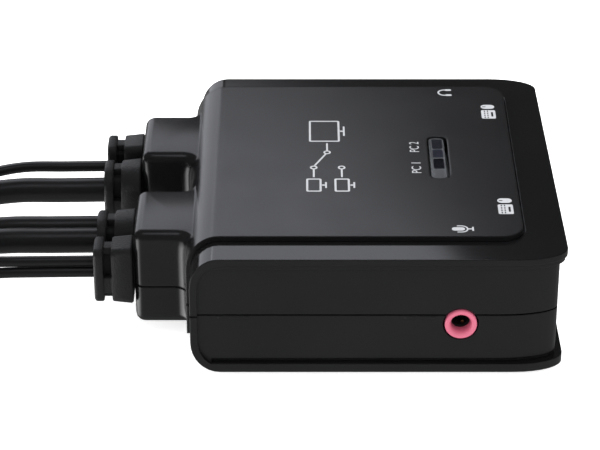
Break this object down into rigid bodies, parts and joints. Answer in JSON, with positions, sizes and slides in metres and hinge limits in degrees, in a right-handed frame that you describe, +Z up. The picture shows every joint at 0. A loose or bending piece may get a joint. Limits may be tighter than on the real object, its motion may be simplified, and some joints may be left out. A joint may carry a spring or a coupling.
{
  "type": "kvm switch",
  "caption": "Compact desktop KVM switch with built-in computer cables, slotted rubber strain reliefs, clear push button between PC labels, and audio sockets on its long sides.",
  "frame": {"origin": "centre of the bounding box of the switch (strain reliefs and rim included, cords left out) in plan, at the floor under its feet", "axes": "+Z up; +X towards the console sockets, away from the cable side; -Y is the side with the microphone socket"},
  "size_m": [0.2841, 0.0934, 0.0317],
  "materials": {
    "gloss_black": "polished black shells",
    "satin_charcoal": "satin charcoal saddle and clamp",
    "rubber_black": "matt black rubber",
    "cord_jacket": "smooth black cord jacket",
    "plug_black": "matt black moulded grips",
    "plated_steel": "nickel plated",
    "board_green": "solder mask on glass epoxy",
    "natural_white": "natural white insulator",
    "part_black": "black moulding compound",
    "socket_pink": "pink microphone socket ring",
    "socket_green": "lime green headphone socket ring",
    "smoked_clear": "smoked clear acrylic",
    "lamp_white": "diffused lamp"
  },
  "bodies": {
    "housing": {"audio_chip": "part_black", "bottom_shell": "gloss_black", "cable_clamp": "satin_charcoal", "cable_header_pc1": "natural_white", "cable_header_pc2": "natural_white", "cord_pc1_mic": "cord_jacket", "cord_pc1_speaker": "cord_jacket", "cord_pc1_usb": "cord_jacket", "cord_pc1_video": "cord_jacket", "cord_pc2_mic": "cord_jacket", "cord_pc2_speaker": "cord_jacket", "cord_pc2_usb": "cord_jacket", "cord_pc2_video": "cord_jacket", "crystal": "plated_steel", "foot_1": "rubber_black", "foot_2": "rubber_black", "foot_3": "rubber_black", "foot_4": "rubber_black", "hank_pc1": "cord_jacket", "hank_pc2": "cord_jacket", "headphone_jack_body": "part_black", "headphone_jack_ring": "socket_green", "lamp_pc1": "lamp_white", "lamp_pc2": "lamp_white", "main_board": "board_green", "mic_jack_body": "part_black", "mic_jack_ring": "socket_pink", "pc1_mic_plug": "plug_black", "pc1_speaker_plug": "plug_black", "pc1_usb_plug": "plug_black", "pc1_usb_plug_shell": "plated_steel", "pc1_video_plug": "plug_black", "pc1_video_plug_shell": "plated_steel", "pc2_mic_plug": "plug_black", "pc2_speaker_plug": "plug_black", "pc2_usb_plug": "plug_black", "pc2_usb_plug_shell": "plated_steel", "pc2_video_plug": "plug_black", "pc2_video_plug_shell": "plated_steel", "screw_1": "plated_steel", "screw_2": "plated_steel", "screw_3": "plated_steel", "screw_4": "plated_steel", "strain_relief_pc1_audio": "rubber_black", "strain_relief_pc1_main": "rubber_black", "strain_relief_pc2_audio": "rubber_black", "strain_relief_pc2_main": "rubber_black", "switch_body": "part_black", "top_panel": "satin_charcoal", "top_shell": "gloss_black", "usb_front_socket_shell": "plated_steel", "usb_front_socket_tongue": "natural_white", "usb_hub_chip": "part_black", "usb_rear_socket_shell": "plated_steel", "usb_rear_socket_tongue": "natural_white", "video_socket_shell": "plated_steel", "video_socket_tongue": "part_black", "video_switch_chip": "part_black"},
    "button": {"select_button": "smoked_clear"},
    "plunger": {"switch_plunger": "part_black"}
  },
  "joints": [
    {"name": "button_press", "type": "slide", "parent": "housing", "child": "button", "axis": [0, 0, -1], "range_m": [0, 0.0006], "stiffness_N_per_m": 600},
    {"name": "plunger_press", "type": "slide", "parent": "housing", "child": "plunger", "axis": [0, 0, -1], "range_m": [0, 0.0006], "stiffness_N_per_m": 5}
  ],
  "couplings": [
    {"joint": "plunger_press", "follows": "button_press", "ratio": 1}
  ]
}
